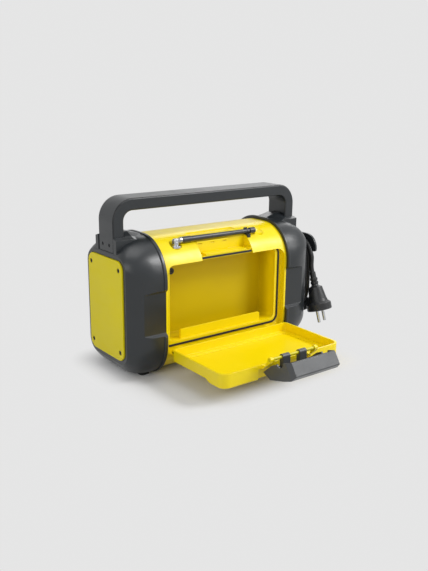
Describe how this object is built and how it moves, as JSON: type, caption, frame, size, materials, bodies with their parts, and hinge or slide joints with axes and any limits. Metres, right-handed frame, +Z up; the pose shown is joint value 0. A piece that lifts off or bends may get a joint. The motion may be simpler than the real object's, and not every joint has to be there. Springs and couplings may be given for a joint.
{
  "type": "jobsite radio",
  "caption": "Rugged barrel-shaped site radio with end caps, carrying handle, drop-down device compartment door with over-centre latch, folding antenna, speakers and wrapped mains lead.",
  "frame": {"origin": "on the floor under the middle of the body, midway between the end caps and between the handle's sides", "axes": "+X along the radio towards the mains lead, -Y out of the compartment door, +Y out of the speakers, +Z up"},
  "size_m": [0.367, 0.3193, 0.244],
  "materials": {
    "yellow_shell": "satin",
    "yellow_panel": "satin",
    "bar_yellow": "satin",
    "charcoal_plastic": "satin",
    "latch_grey": "satin",
    "seal_rubber": "matt",
    "foot_rubber": "matt",
    "dark_steel": "blackened",
    "chrome": "polished",
    "antenna_black": "satin",
    "socket_black": "satin",
    "fascia_black": "satin",
    "grille_steel": "satin",
    "speaker_steel": "satin",
    "magnet": "ground",
    "cone_paper": "matt",
    "display_lens": "gloss",
    "board_green": "gloss",
    "component_metal": "satin",
    "switch_black": "satin",
    "knob_black": "satin",
    "button_grey": "matt",
    "supply_case": "satin",
    "cord_black": "satin"
  },
  "bodies": {
    "radio": {"barrel_shell": "yellow_shell", "left_end_cap": "charcoal_plastic", "right_end_cap": "charcoal_plastic", "left_side_panel": "yellow_panel", "side_panel_screws": "dark_steel", "handle_frame": "charcoal_plastic", "handle_cover": "charcoal_plastic", "handle_screws": "dark_steel", "compartment_liner": "yellow_shell", "socket_plate": "socket_black", "door_seal": "seal_rubber", "latch_keeper": "yellow_shell", "hinge_pins": "dark_steel", "antenna_clip": "charcoal_plastic", "front_fascia": "fascia_black", "speaker_grilles": "grille_steel", "speaker_frames": "speaker_steel", "speaker_cones": "cone_paper", "speaker_magnets": "magnet", "display_window": "display_lens", "main_board": "board_green", "encoders": "component_metal", "button_switches": "switch_black", "power_supply": "supply_case", "rubber_feet": "foot_rubber", "cord_wrap": "fascia_black", "cord_wrap_screws": "dark_steel", "cord_gland": "cord_black", "cord_lead": "cord_black", "cord_coil": "cord_black", "cord_tail": "cord_black", "mains_plug": "cord_black", "plug_pins": "chrome"},
    "door": {"door_tray": "yellow_shell", "latch_bar": "bar_yellow"},
    "latch": {"latch_lever": "latch_grey"},
    "antenna_base": {"antenna_swivel": "chrome", "antenna_pin": "chrome"},
    "antenna": {"antenna_coupling": "chrome", "antenna_mast": "antenna_black"},
    "volume": {"volume_knob": "knob_black"},
    "tuning": {"tuning_knob": "knob_black"},
    "key_1": {"button_1": "button_grey"},
    "key_2": {"button_2": "button_grey"},
    "key_3": {"button_3": "button_grey"},
    "key_4": {"button_4": "button_grey"},
    "key_5": {"button_5": "button_grey"},
    "key_6": {"button_6": "button_grey"}
  },
  "joints": [
    {"name": "door_hinge", "type": "hinge", "parent": "radio", "child": "door", "pos_m": [0, -0.065, 0.0375], "axis": [-1, 0, 0], "range_deg": [0, 90]},
    {"name": "latch_pivot", "type": "hinge", "parent": "door", "child": "latch", "pos_m": [0, -0.196, 0.0555], "axis": [-1, 0, 0], "range_deg": [0, 12]},
    {"name": "antenna_turn", "type": "hinge", "parent": "radio", "child": "antenna_base", "pos_m": [-0.077, -0.0424, 0.1857], "axis": [0, 0, 1], "range_deg": [-90, 0]},
    {"name": "antenna_lift", "type": "hinge", "parent": "antenna_base", "child": "antenna", "pos_m": [-0.077, -0.0424, 0.1857], "axis": [0, -1, 0], "range_deg": [0, 90]},
    {"name": "volume_turn", "type": "hinge", "parent": "radio", "child": "volume", "pos_m": [-0.0115, 0.066, 0.101], "axis": [0, 1, 0], "range_deg": [-140, 140]},
    {"name": "tuning_turn", "type": "hinge", "parent": "radio", "child": "tuning", "pos_m": [0.0115, 0.066, 0.101], "axis": [0, 1, 0], "continuous": true},
    {"name": "key_1_press", "type": "slide", "parent": "radio", "child": "key_1", "axis": [0, -1, 0], "range_m": [0, 0.0015], "stiffness_N_per_m": 400, "springref_m": -0.0005},
    {"name": "key_2_press", "type": "slide", "parent": "radio", "child": "key_2", "axis": [0, -1, 0], "range_m": [0, 0.0015], "stiffness_N_per_m": 400, "springref_m": -0.0005},
    {"name": "key_3_press", "type": "slide", "parent": "radio", "child": "key_3", "axis": [0, -1, 0], "range_m": [0, 0.0015], "stiffness_N_per_m": 400, "springref_m": -0.0005},
    {"name": "key_4_press", "type": "slide", "parent": "radio", "child": "key_4", "axis": [0, -1, 0], "range_m": [0, 0.0015], "stiffness_N_per_m": 400, "springref_m": -0.0005},
    {"name": "key_5_press", "type": "slide", "parent": "radio", "child": "key_5", "axis": [0, -1, 0], "range_m": [0, 0.0015], "stiffness_N_per_m": 400, "springref_m": -0.0005},
    {"name": "key_6_press", "type": "slide", "parent": "radio", "child": "key_6", "axis": [0, -1, 0], "range_m": [0, 0.0015], "stiffness_N_per_m": 400, "springref_m": -0.0005}
  ]
}
